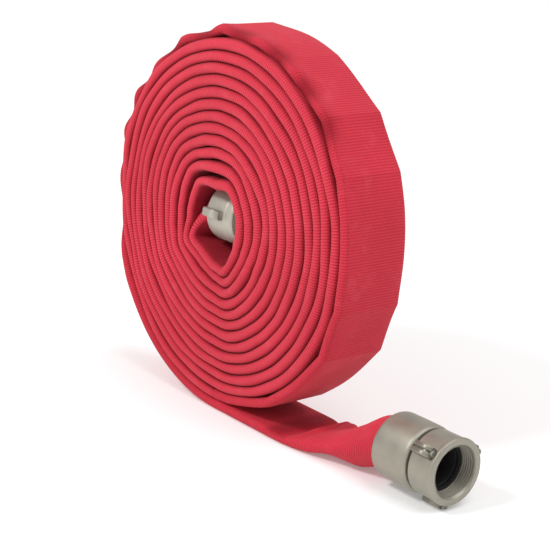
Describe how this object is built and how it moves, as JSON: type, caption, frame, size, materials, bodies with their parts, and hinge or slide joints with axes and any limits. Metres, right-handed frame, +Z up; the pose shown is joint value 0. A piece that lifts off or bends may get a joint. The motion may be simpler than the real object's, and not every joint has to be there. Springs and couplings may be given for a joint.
{
  "type": "rolled fire hose",
  "caption": "Flat double-jacket hose wound on edge around its male coupling, with a short free tail that ends in a swivelling female coupling.",
  "frame": {"origin": "on the floor, straight under the centre of the roll", "axes": "+X along the free tail towards the female coupling's mouth, +Y along the axis of the roll, +Z up"},
  "size_m": [0.52, 0.078, 0.4],
  "materials": {
    "outer_weave": "ribbed woven jacket, red",
    "inner_weave": "plain woven jacket, natural",
    "liner_rubber": "smooth",
    "coupling_light": "satin, light grey",
    "coupling_anodised": "hard anodised, satin grey-beige",
    "ring_brass": "plain",
    "gasket_rubber": "matte",
    "steel": "polished"
  },
  "bodies": {
    "roll": {"outer_jacket": "outer_weave", "inner_jacket": "inner_weave", "liner": "liner_rubber", "male_coupling": "coupling_light", "male_expansion_ring": "ring_brass", "male_tail_gasket": "gasket_rubber"},
    "tail": {"tail_outer_jacket": "outer_weave", "tail_inner_jacket": "inner_weave", "tail_liner": "liner_rubber", "female_bowl": "coupling_anodised", "female_expansion_ring": "ring_brass", "female_tail_gasket": "gasket_rubber"},
    "swivel": {"female_swivel": "coupling_anodised", "swivel_gasket": "gasket_rubber", "swivel_ball_plug": "steel"},
    "ball_ring": {"swivel_balls": "steel"}
  },
  "joints": [
    {"name": "tail_lift", "type": "hinge", "parent": "roll", "child": "tail", "pos_m": [0.12, 0, 0.0051], "axis": [0, -1, 0], "range_deg": [0, 30]},
    {"name": "swivel_spin", "type": "hinge", "parent": "tail", "child": "swivel", "pos_m": [0.24, 0, 0.0373], "axis": [1, 0, 0], "continuous": true},
    {"name": "ball_orbit", "type": "hinge", "parent": "tail", "child": "ball_ring", "pos_m": [0.24, 0, 0.0373], "axis": [1, 0, 0], "continuous": true}
  ],
  "couplings": [
    {"joint": "ball_orbit", "follows": "swivel_spin", "ratio": 0.543}
  ]
}
